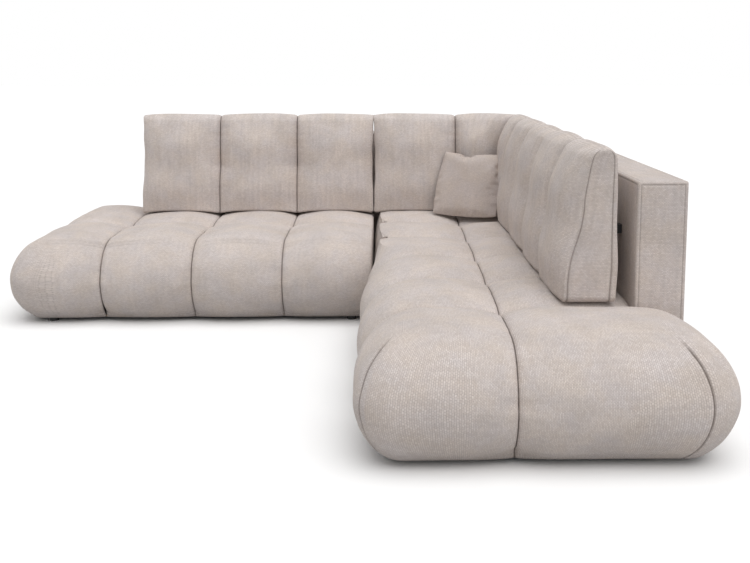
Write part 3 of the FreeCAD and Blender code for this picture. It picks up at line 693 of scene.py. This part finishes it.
def backShell(name, place, length, seams, mitre=False, bars=()):
    # Shell of a backrest: a front and a back sheet by length and height that meet at the crest,
    # a flat bottom, and an end panel at each end. With a mitre the last cell is shortened by
    # its own depth w, so that its end lies on the diagonal, and that end isn't free. A free
    # end's panel stands out by its bulge, which leaves a slit open along its bottom edge.
    plan = backPlan
    below = np.linspace(0, plan["capStart"], 50)
    bend = np.sin(np.linspace(0, np.pi / 2, 13)[1:])
    share = np.concatenate([below, plan["capStart"] + (1 - plan["capStart"]) * bend])
    levels = len(share)
    knots = [row[0] for row in plan["levels"]]
    frontSeam, frontCell, backSeam, backCell = [curveThrough(share, knots,
        [row[k] for row in plan["levels"]]) for k in (1, 2, 3, 4)]
    line = spacedLine(0, length, [0, *seams, length], 0.0115)
    n = len(line)
    gap = toSeams(line, [0, *seams, length])[:, None]
    puff = 1 - np.clip(1 - gap / (plan["cell"] / 2), 0, 1) ** plan["swellPower"]
    front = frontSeam + (frontCell - frontSeam) * puff
    back = backSeam + (backCell - backSeam) * puff
    tall = plan["top"] - plan["bottom"]
    z = plan["bottom"] + tall * share[None, :] + 0 * gap
    lineGrid = line[:, None] + 0 * z
    for bar in bars:
        away = np.hypot(lineGrid - bar, z - plan["barHeight"])
        back = back * (1 - np.exp(-(away / plan["barDimple"]) ** 2))

    # seams: rolled in, pulled deeper at the waist, with short folds beside them
    sewnGap = toSeams(lineGrid, [*seams, length] if mitre else seams)
    waist = (z - (plan["bottom"] + plan["waist"] * tall)) / 0.035
    tuft = plan["tuft"] * np.exp(-(sewnGap / 0.05) ** 1.5 - waist ** 2)
    flat = place(lineGrid, front, z).reshape(-1, 3)

    def noise(wave, seed):
        return smoothNoise(flat, wave, seed).reshape(z.shape)

    folds = puckers(sewnGap.ravel(), z.ravel(), 27, 0.0019, 0.05).reshape(z.shape)
    rolled = roll(sewnGap, *plan["roll"])
    sunk = rolled + tuft + folds
    sunk = sunk + 0.0026 * noise(0.24, 15) + 0.0008 * noise(0.07, 16)
    calm = np.clip(toSeams(line, [0, length]) / 0.03, 0, 1)[:, None]
    front = front - np.where(sunk > 0, sunk, sunk * calm)
    back = back + 0.0016 * noise(0.3, 18) * calm + 0.5 * rolled

    # round top: both sheets close on the crest
    cap = np.clip((share - plan["capStart"]) / (1 - plan["capStart"]), 0, 1)[None, :]
    front = plan["crest"] + (front - plan["crest"]) * (1 - cap ** 2.4) ** 0.5
    back = plan["crest"] + (back - plan["crest"]) * (1 - cap ** 3.2) ** (1 / 2.2)
    lift = share[None, :] ** 3
    z = z - lift * (plan["crestDip"] * (1 - puff) + 0.8 * rolled)
    z = z - lift * 0.002 * (noise(0.2, 19) + 1)
    z = z - (1 - share[None, :]) ** 4 * plan["bottomDip"] * (1 - puff)

    # ends: drawn in at the waist, rounded at the top and the bottom
    height = tall * share
    endIn = plan["endWaist"] * np.sin(np.pi * share)
    endIn = endIn + quarterRound(height, plan["endRound"])
    endIn = endIn + quarterRound(height[-1] - height, plan["endRound"])
    endIn = endIn + 0.0012 * np.sin(share * 23)
    pull = endIn * np.clip(1 - lineGrid / plan["endReach"], 0, 1) ** 2
    if not mitre:
        pull = pull - endIn * np.clip(1 - (length - lineGrid) / plan["endReach"], 0, 1) ** 2
    cut = np.clip((lineGrid - seams[-1]) / (length - seams[-1]), 0, 1) * mitre

    def sheet(w):
        return np.stack([lineGrid + pull - cut * w, w, z], -1)

    frontIndex = np.arange(n * levels).reshape(n, levels)
    backIndex = n * levels + np.arange(n * (levels - 1)).reshape(n, levels - 1)
    backIndex = np.concatenate([backIndex, frontIndex[:, -1:]], 1)
    points = np.concatenate([sheet(front).reshape(-1, 3), sheet(back)[:, :-1].reshape(-1, 3)])
    clothUp = np.concatenate([[0], np.cumsum(np.hypot(np.diff(frontCell), np.diff(height)))])
    frontUv = np.stack(np.broadcast_arrays(lineGrid, clothUp), -1)
    backUv = np.stack(np.broadcast_arrays(-lineGrid - 3, height), -1)
    quads = [gridQuads(frontIndex), gridQuads(backIndex)]
    uv = [gridQuads(frontUv), gridQuads(backUv)]

    # bottom and end panels, as grids across from the front to the back
    across = np.array(plan["across"])
    inner = across[1:-1]
    groove = sum(np.exp(-((inner - at) / 0.012) ** 2) for at in plan["stitches"])
    profile = np.minimum(1, np.minimum(inner, 1 - inner) / 0.12) ** 0.5 - 0.5 * groove
    # painted shade deep in the seams, on the front and back sheets
    sheetSeamShade = np.exp(-(sewnGap / 0.0022) ** 2)
    pieces, seamShades = [points], [sheetSeamShade.ravel(), sheetSeamShade[:, :-1].ravel()]

    def bridge(first, second, bulge, direction):
        # rows from the front edge to the back edge that stand out by the bulge, but for a fine
        # stitched groove near the front edge and one further in from the back edge
        a, b = points[first], points[second]
        rows = a[:, None] + (b - a)[:, None] * inner[None, :, None]
        rows = rows + bulge * profile[None, :, None] * np.array(direction, float)
        index = sum(map(len, pieces)) + np.arange(rows.size // 3).reshape(rows.shape[:2])
        pieces.append(rows.reshape(-1, 3))
        # painted shade in the panel's two stitched grooves
        seamShades.append(np.tile(0.75 * groove ** 0.4 * (bulge > 0), len(first)))
        return np.concatenate([first[:, None], index, second[:, None]], 1)

    quads.append(gridQuads(bridge(frontIndex[:, 0], backIndex[:, 0], 0.0, (0, 0, 1))))
    uv.append(gridQuads(np.stack(np.broadcast_arrays(line[:, None], -0.2 * across), -1)))
    polygons = []
    for end, direction in ((0, (-1, 0, 0)), (-1, (1, 0, 0))):
        bulge = 0.0 if end and mitre else plan["panelBulge"]
        first, second = frontIndex[end, :-1], backIndex[end, :-1]
        grid = bridge(first, second, bulge, direction)
        quads.append(gridQuads(grid))
        depth = np.linalg.norm(points[first] - points[second], axis=1)[:, None]
        panel = np.stack(np.broadcast_arrays(across * depth + 5 + end, height[:-1, None]), -1)
        uv.append(gridQuads(panel))
        tip = int(frontIndex[end, -1])
        polygons += [[int(a), int(b), tip] for a, b in zip(grid[-1, :-1], grid[-1, 1:])]
    return newPiece(name, place(*np.concatenate(pieces).T), np.concatenate(quads),
        np.concatenate(uv), polygons, sewn=np.concatenate(seamShades))


# where each backrest starts; the corner's two legs keep half a joint free of their neighbours
cornerX, cornerY = sofaPlan["backCorner"]
legX, legY, halfJoint = 0.276, 0.337, 0.0025
long = {"length": 1.2215, "seams": [0.408, 0.816], "bars": (0.204, 1.020)}
leftBack = backShell("left_backrest", placeFrom((-0.948, cornerY), 0, -1), **long)
rightBack = backShell("right_backrest", placeFrom((cornerX, -0.887), 1, -1), **long)
rearLeg = backShell("corner_backrest_rear", placeFrom((legX + halfJoint, cornerY), 0, -1),
    cornerX - legX - halfJoint, [0.4345], mitre=True)
sideLeg = backShell("corner_backrest_side", placeFrom((cornerX, legY + halfJoint), 1, -1),
    cornerY - legY - halfJoint, [0.4055], mitre=True)
print("backrests")

# back boxes: flat padded panels with welted edges

boxPlan = {"top": 0.792, "edge": 0.008, "puff": 0.0012, "welt": 0.0018}


def boxShell(name, low, high):
    # Box whose faces are grids; a point's place on the box is drawn in by a rounded-edge rule:
    # the nearest point of a smaller core box plus the edge radius in the direction outwards.
    # Faces swell a little in the middle and have a fine groove beside each edge, with painted shade
    # in the groove.
    low, high = np.array(low), np.array(high)
    r = boxPlan["edge"]
    points, quads, uv, seamShades = [], [], [], []
    start = 0
    for axis in range(3):
        a, b = [k for k in range(3) if k != axis]
        lines = []
        for k in (a, b):
            edge = np.array([0, 0.2, 0.4, 0.6, 0.8, 1, 1.25, 1.5, 1.75, 2.1, 2.6]) * r
            count = max(3, int((high[k] - low[k]) / 0.03))
            inner = np.linspace(low[k] + 3.2 * r, high[k] - 3.2 * r, count)
            lines.append(np.concatenate([low[k] + edge, inner, (high[k] - edge)[::-1]]))
        ga, gb = np.meshgrid(*lines, indexing="ij")
        for side in (0, 1):
            flat = np.zeros((*ga.shape, 3))
            flat[..., a], flat[..., b] = ga, gb
            flat[..., axis] = (low, high)[side][axis]
            core = np.clip(flat, low + r, high - r)
            away = flat - core
            away /= np.maximum(np.linalg.norm(away, axis=-1), 1e-9)[..., None]
            place = core + away * r
            fa = np.minimum(ga - low[a], high[a] - ga)
            fb = np.minimum(gb - low[b], high[b] - gb)
            nearest = np.minimum(fa, fb)
            swell = boxPlan["puff"] * (1 - np.exp(-np.clip(nearest - r, 0, None) / 0.04))
            groove = boxPlan["welt"] * np.exp(-((nearest - 1.5 * r) / (0.28 * r)) ** 2)
            amount = (swell - groove) * (nearest > r * 0.95)
            # painted shade in the groove beside each edge
            seamShades.append((0.6 * np.exp(-((nearest - 1.5 * r) / (0.18 * r)) ** 2)).ravel())
            place[..., axis] += (2 * side - 1) * amount
            index = start + np.arange(ga.size).reshape(ga.shape)
            start += ga.size
            points.append(place.reshape(-1, 3))
            quads.append(gridQuads(index))
            uv.append(gridQuads(np.stack([ga, gb], -1)))
    return newPiece(name, np.concatenate(points), np.concatenate(quads), np.concatenate(uv),
        sewn=np.concatenate(seamShades))


foot = sofaPlan["underside"]
leftBox = boxShell("left_back_box", (-0.945, 1.2175, foot), (1.1655, 1.387, boxPlan["top"]))
rightBox = boxShell("right_back_box", (1.1665, -0.884, foot), (1.336, 1.387, boxPlan["top"]))
print("back boxes")

# scatter pillow

pillowPlan = {
    "size": 0.356,
    "thick": 0.110,
    "turn": 25.0,             # degrees
    "lean": 26.0,
    "foot": (0.734, 0.773),
    "lift": 0.3935,
    "cells": 44,
    "bow": 0.085,             # the cut edges bow out, so that they end nearly straight
    "gather": 0.0022,
    "frames": 20,
    "cloth": {
        "quality": 6, "mass": 0.25, "tension_stiffness": 12, "compression_stiffness": 12,
        "shear_stiffness": 5, "bending_stiffness": 4, "tension_damping": 12,
        "compression_damping": 12, "air_damping": 4, "use_pressure": True,
        "uniform_pressure_force": 4.0,
    },
}


def inflate(piece, settings, frames):
    # cloth simulation with pressure inside and no gravity; the modifier is then applied
    cloth = piece.modifiers.new("Cloth", "CLOTH")
    for key, value in settings.items():
        setattr(cloth.settings, key, value)
    cloth.settings.effector_weights.gravity = 0
    cloth.collision_settings.use_collision = False
    cloth.point_cache.frame_end = frames
    for number in range(1, frames + 1):
        bpy.context.scene.frame_set(number)
    bpy.context.view_layer.objects.active = piece
    with bpy.context.temp_override(object=piece, active_object=piece):
        bpy.ops.object.modifier_apply(modifier=cloth.name)
    bpy.context.scene.frame_set(1)


def meshPoints(piece):
    points = np.empty(len(piece.data.vertices) * 3)
    piece.data.vertices.foreach_get("co", points)
    return points.reshape(-1, 3)


def pillowShell():
    # Two square sheets sewn along their rim and blown up: the rim draws in between the
    # corners and gathers, as on a knife-edge pillow. Size and thickness are set afterwards.
    plan = pillowPlan
    half = plan["size"] / 2
    line = np.linspace(-1, 1, plan["cells"] + 1)
    a, b = np.meshgrid(line, line, indexing="ij")
    slack = 0.004 * ((1 - a ** 2) * (1 - b ** 2)) ** 0.3
    sheets = [np.stack([a * half * (1 + plan["bow"] * (1 - b ** 2)), side * slack,
        b * half * (1 + plan["bow"] * (1 - a ** 2))], -1) for side in (-1, 1)]
    index = np.arange(a.size).reshape(a.shape)
    uv = np.stack([a * half, b * half], -1)
    points = np.concatenate([part.reshape(-1, 3) for part in sheets])
    points += 0.0006 * smoothNoise(points, 0.05, 31)[:, None]
    rim = (np.maximum(np.abs(a), np.abs(b)) == 1).ravel()
    points[a.size:][rim] = points[:a.size][rim]
    piece = newPiece("scatter_pillow_cover", points,
        np.concatenate([gridQuads(index), gridQuads(index + a.size)]),
        np.concatenate([gridQuads(uv), gridQuads(uv + 1)]))
    inflate(piece, plan["cloth"], plan["frames"])
    blown = meshPoints(piece)
    blown -= (blown.min(0) + blown.max(0)) / 2
    extent = blown.max(0) - blown.min(0)
    blown *= np.array([plan["size"], plan["thick"], plan["size"]]) / extent
    # short gathers square to the sewn rim
    edge = half - np.maximum(np.abs(blown[:, 0]), np.abs(blown[:, 2]))
    across = np.abs(blown[:, 0]) > np.abs(blown[:, 2])
    along = np.where(across, blown[:, 2], blown[:, 0])
    places = np.stack([along, across * 3.1, np.sign(blown[:, 1]) * 1.7], -1)
    gather = plan["gather"] * smoothNoise(places, 0.026, 44)
    gather = gather * np.exp(-np.abs(edge - 0.012) / 0.022)
    blown[:, 1] += gather * np.clip(edge / 0.008, 0, 1)
    piece.data.vertices.foreach_set("co", blown.ravel())
    finer = piece.modifiers.new("Subdivision", "SUBSURF")
    finer.levels = finer.render_levels = 1
    return piece


def placePillow(piece):
    # leans it back about its foot, turns it and stands it on the seat
    plan = pillowPlan
    x, y, z = meshPoints(piece).T
    lean, turn = math.radians(plan["lean"]), math.radians(plan["turn"])
    y, z = (y * math.cos(lean) + z * math.sin(lean), -y * math.sin(lean) + z * math.cos(lean))
    back = math.sin(lean) * plan["size"] / 2
    px = x * math.cos(turn) + y * math.sin(turn) + plan["foot"][0] + back * math.sin(turn)
    py = -x * math.sin(turn) + y * math.cos(turn) + plan["foot"][1] + back * math.cos(turn)
    pz = z - z.min() + plan["lift"]
    piece.data.vertices.foreach_set("co", np.stack([px, py, pz], -1).ravel())
    piece.data.update()


pillow = pillowShell()
placePillow(pillow)
print("pillow")

# who rides where

soft = [
    (leftSeat, "base", "chenille", 0.85, seatCloth,
     ["left_seat_cushion", "left_foam_core", "left_support_felt"]),
    (rightSeat, "base", "chenille", 0.85, seatCloth,
     ["right_seat_cushion", "right_foam_core", "right_support_felt"]),
    (leftBack, "left_backrest", "chenille", 0.8, backCloth, ["left_backrest_cushion"]),
    (rightBack, "right_backrest", "chenille", 0.8, backCloth, ["right_backrest_cushion"]),
    (rearLeg, "base", "chenille", 0.8, backCloth, ["corner_rear_cushion"]),
    (sideLeg, "base", "chenille", 0.8, backCloth, ["corner_side_cushion"]),
    (leftBox, "base", "chenille", 0.9, backCloth, ["left_box_cover"]),
    (rightBox, "base", "chenille", 0.9, backCloth, ["right_box_cover"]),
    (pillow, "pillow", "pillow_chenille", 0.6, pillowCloth, ["scatter_pillow"]),
]
for piece, body, slotName, fill, cloth, nodes in soft:
    piece.data.materials.append(cloth)
    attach(piece, body)
    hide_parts(*nodes)

# dust cloths under the seats: black non-woven cloth, stapled round its edge and along the rails

dustPlan = {"thick": 0.0009, "low": 0.0190, "sag": 0.0011, "staples": 0.09, "edge": 0.004,
            "cell": 0.0225}


def dustSheet(name, node):
    # flat sheet with a thin top and bottom that dips a little between the staples at its edge
    plan = dustPlan
    low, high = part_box(node)
    lines = []
    for k in (0, 1):
        count = int((high[k] - low[k]) / plan["cell"]) + 1
        lines.append(np.linspace(low[k] + plan["edge"], high[k] - plan["edge"], count))
    x, y = np.meshgrid(*lines, indexing="ij")
    inward = np.minimum(np.minimum(x - low[0], high[0] - x), np.minimum(y - low[1], high[1] - y))
    wave = np.cos(2 * np.pi * x / plan["staples"]) * np.cos(2 * np.pi * y / plan["staples"])
    free = np.clip(inward / 0.02, 0, 1)
    z = plan["low"] + plan["sag"] * (1 - 0.6 * free * (0.5 + 0.5 * wave)) - plan["sag"] * 0.4
    faces = [np.stack([x, y, z + part * plan["thick"] / 2], -1) for part in (1, -1)]
    index = np.arange(x.size).reshape(x.shape)
    rim = np.concatenate([index[:, 0], index[-1, 1:], index[::-1, -1][1:], index[0, ::-1][1:]])
    uv = np.stack([x, y], -1)
    rimUv = uv.reshape(-1, 2)[rim]
    quads = [index, index + x.size, np.stack([rim, rim + x.size], -1)]
    piece = newPiece(name, np.concatenate(faces).reshape(-1, 3),
        np.concatenate([gridQuads(part) for part in quads]),
        np.concatenate([gridQuads(part) for part in (uv, uv, np.stack([rimUv, rimUv], 1))]))
    return piece, [high[k] - low[k] - 2 * plan["edge"] for k in (0, 1)]


def nonWoven():
    # black spun-bonded cloth: matte, with faint pressed dots and fibres
    material, add = newMaterial("black non-woven cloth")
    cloth = add("UVMap", {"uv_map": "cloth"})
    dots = add("TexVoronoi", {"Scale": 420.0, "Vector": cloth})
    fibres = add("TexNoise", {"Scale": 900.0, "Detail": 3.0, "Vector": cloth})
    pressed = add("MapRange", span(dots, 0.1, 0.5, 0.0, 1.0))
    colour = add("Mix", blend(pressed, linear("#0f0f10"), linear("#232324")))
    closeSurface(add, colour, fibres, (0.4, 0.0004), {"Roughness": 0.9, "Specular IOR Level": 0.2})
    return material


dustCloth = nonWoven()
for side in ("left", "right"):
    sheet, size = dustSheet(side + "_dust_cloth", side + "_dust_cover")
    sheet.data.materials.append(dustCloth)
    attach(sheet, "base")
    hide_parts(side + "_dust_cover")
print("dust cloths")

# frame, fittings and feet: the CAD nodes keep their meshes and get these materials


def softwood(name, scale):
    # planed softwood: pale yellow ground with darker grain along the piece and fine pores
    material, add = newMaterial(name)
    place = add("TexCoord")
    stretch = add("Mapping", {"Scale": scale, "Vector": (place, "Object")})
    grain = add("TexNoise", {"Scale": 1.0, "Detail": 6.0, "Roughness": 0.6, "Distortion": 0.8,
        "Vector": stretch})
    fine = add("TexNoise", {"Scale": 6.0, "Detail": 3.0, "Vector": stretch})
    bands = add("MapRange", span(grain, 0.35, 0.65, 0.0, 1.0))
    colour = add("Mix", blend(bands, linear("#d9b987"), linear("#b98d57")))
    pores = add("MapRange", span(fine, 0.5, 0.8, 0.0, 0.35))
    colour = add("Mix", blend(pores, colour, linear("#8d6436")))
    roughness = add("MapRange", span(grain, 0.3, 0.7, 0.62, 0.8))
    closeSurface(add, colour, grain, (0.25, 0.0006),
        {"Roughness": roughness, "Specular IOR Level": 0.3})
    return material


def hardFinish(name, first, second, metallic, roughness, scale, bumpHeight):
    # smooth made surface: slight mottling in colour and roughness, and a shallow grain
    material, add = newMaterial(name)
    place = add("TexCoord")
    mottle = add("TexNoise", {"Scale": scale, "Detail": 4.0, "Roughness": 0.6,
        "Vector": (place, "Object")})
    peel = add("TexNoise", {"Scale": scale * 9, "Detail": 2.0, "Vector": (place, "Object")})
    shades = add("MapRange", span(mottle, 0.35, 0.65, 0.0, 1.0))
    colour = add("Mix", blend(shades, linear(first), linear(second)))
    gloss = add("MapRange", span(mottle, 0.3, 0.7, *roughness))
    closeSurface(add, colour, peel, (0.3, bumpHeight), {"Metallic": metallic, "Roughness": gloss})
    return material


woodAlongX = softwood("softwood, grain along x", (2.5, 60.0, 60.0))
woodAlongY = softwood("softwood, grain along y", (60.0, 2.5, 60.0))
woodUpright = softwood("softwood, grain upright", (60.0, 60.0, 2.5))
# satin black paint on steel; bright zinc; moulded black and grey nylon
paintedSteel = hardFinish("black painted steel", "#1b1b1c", "#262627", 0.0, (0.38, 0.5), 90.0,
    0.0001)
zincedSteel = hardFinish("zinc plated steel", "#a9adb0", "#8d9194", 1.0, (0.28, 0.42), 160.0,
    0.00005)
blackPlastic = hardFinish("black moulded plastic", "#141414", "#1d1d1d", 0.0, (0.5, 0.62), 220.0,
    0.0001)
greyPlastic = hardFinish("grey nylon", "#8b8d8f", "#7b7d7f", 0.0, (0.42, 0.55), 200.0, 0.0001)


def both(*parts):
    return [side + "_" + part for part in parts for side in ("left", "right")]


finishes = {
    woodAlongX: ["left_backrest_rails", "left_box_rails", "left_long_rails",
                 "right_cross_rails", "corner_rear_frame", "left_foot_blocks"],
    woodAlongY: ["right_backrest_rails", "right_box_rails", "right_long_rails",
                 "left_cross_rails", "corner_side_frame", "right_foot_blocks"],
    woodUpright: both("backrest_posts", "box_posts"),
    paintedSteel: both("guide_tubes", "slide_bars", "slide_plates")
                  + ["connector_plates", "corner_brackets"],
    zincedSteel: both("springs") + ["connector_screws"],
    blackPlastic: both("feet"),
    greyPlastic: both("guide_collars", "slide_glides", "spring_clips"),
}
for material, nodes in finishes.items():
    for node in nodes:
        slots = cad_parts[node].data.materials
        for place in range(len(slots)):
            slots[place] = material
        if not len(slots):
            slots.append(material)
print("rigid finishes")

# floor and light


def backdropRays(add):
    # 1 for the rays that see the backdrop: from the camera, off a gloss or through glass
    path = add("LightPath")
    seen = add("Math", {"operation": "MAXIMUM", 0: (path, "Is Camera Ray"),
        1: (path, "Is Glossy Ray")})
    return add("Math", {"operation": "MAXIMUM", 0: seen, 1: (path, "Is Transmission Ray")})


studio = {"reach": 40.0, "floorSeen": 0.96, "floorLit": 0.55, "ambient": 0.50}

reach = studio["reach"]
floorMesh = bpy.data.meshes.new("floor")
floorMesh.from_pydata([(-reach, -reach, 0), (reach, -reach, 0), (reach, reach, 0),
    (-reach, reach, 0)], [], [(0, 1, 2, 3)])
floor = bpy.data.objects.new("floor", floorMesh)
bpy.context.scene.collection.objects.link(floor)
floorMaterial, add = newMaterial("white studio floor")
lit, seen = [(*[studio[key]] * 3, 1) for key in ("floorLit", "floorSeen")]
shown = add("Mix", blend(backdropRays(add), lit, seen))
matte = add("BsdfDiffuse", {"Color": shown})
add("OutputMaterial", {"Surface": matte})
floorMesh.materials.append(floorMaterial)

world = bpy.data.worlds.new("studio")
bpy.context.scene.world = world
world.use_nodes = True
world.node_tree.nodes.clear()
add = partial(addNode, world.node_tree)
level = add("MapRange", {"To Min": studio["ambient"], "To Max": 1.0, "Value": backdropRays(add)})
sky = add("Background", {"Color": (1, 1, 1, 1), "Strength": level})
add("OutputWorld", {"Surface": sky})


def sunLamp(name, fromWay, strength, spread):
    data = bpy.data.lights.new(name, "SUN")
    data.energy = strength
    data.angle = math.radians(spread)
    lamp = bpy.data.objects.new(name, data)
    lamp.rotation_mode = "QUATERNION"
    lamp.rotation_quaternion = Vector(fromWay).to_track_quat("Z", "Y")
    bpy.context.scene.collection.objects.link(lamp)


sunLamp("overhead", (0.1, -0.25, 1.0), 1.75, 60)
sunLamp("front", (0.55, -0.8, 0.7), 0.45, 60)
bpy.context.scene.view_settings.view_transform = "Standard"
